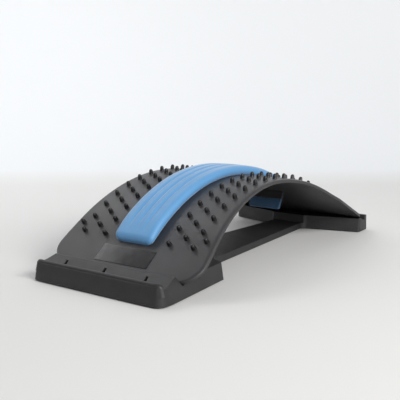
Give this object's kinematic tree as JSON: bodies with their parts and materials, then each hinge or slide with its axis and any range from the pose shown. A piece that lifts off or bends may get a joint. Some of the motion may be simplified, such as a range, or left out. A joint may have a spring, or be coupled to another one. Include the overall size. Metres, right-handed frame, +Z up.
{
  "type": "back stretcher",
  "caption": "Arched back stretcher: a bowed plate with raised nubs and a soft channelled pad, held in a grooved dog-bone base with rubber feet.",
  "frame": {"origin": "centre of the footprint, on the surface that the feet stand on", "axes": "+X along the object from the three grooves to the far seat, +Y to the side, +Z up"},
  "size_m": [0.546, 0.236, 0.1327],
  "materials": {
    "base_plastic": "fine moulded texture",
    "plate_plastic": "fine moulded texture, slight sheen",
    "pad_foam": "smooth closed-cell foam skin",
    "foot_rubber": "matte"
  },
  "bodies": {
    "base": {"base_frame": "base_plastic", "foot_near_left": "foot_rubber", "foot_near_right": "foot_rubber", "foot_inner_left": "foot_rubber", "foot_inner_right": "foot_rubber", "foot_beam_left": "foot_rubber", "foot_beam_right": "foot_rubber", "foot_far_left": "foot_rubber", "foot_far_right": "foot_rubber"},
    "arch": {"arch_plate": "plate_plastic", "massage_pad": "pad_foam"}
  },
  "joints": [
    {"name": "arch_lift", "type": "hinge", "parent": "base", "child": "arch", "pos_m": [0.25806, 0, 0.02187], "axis": [0, 1, 0], "range_deg": [0, 30]}
  ]
}
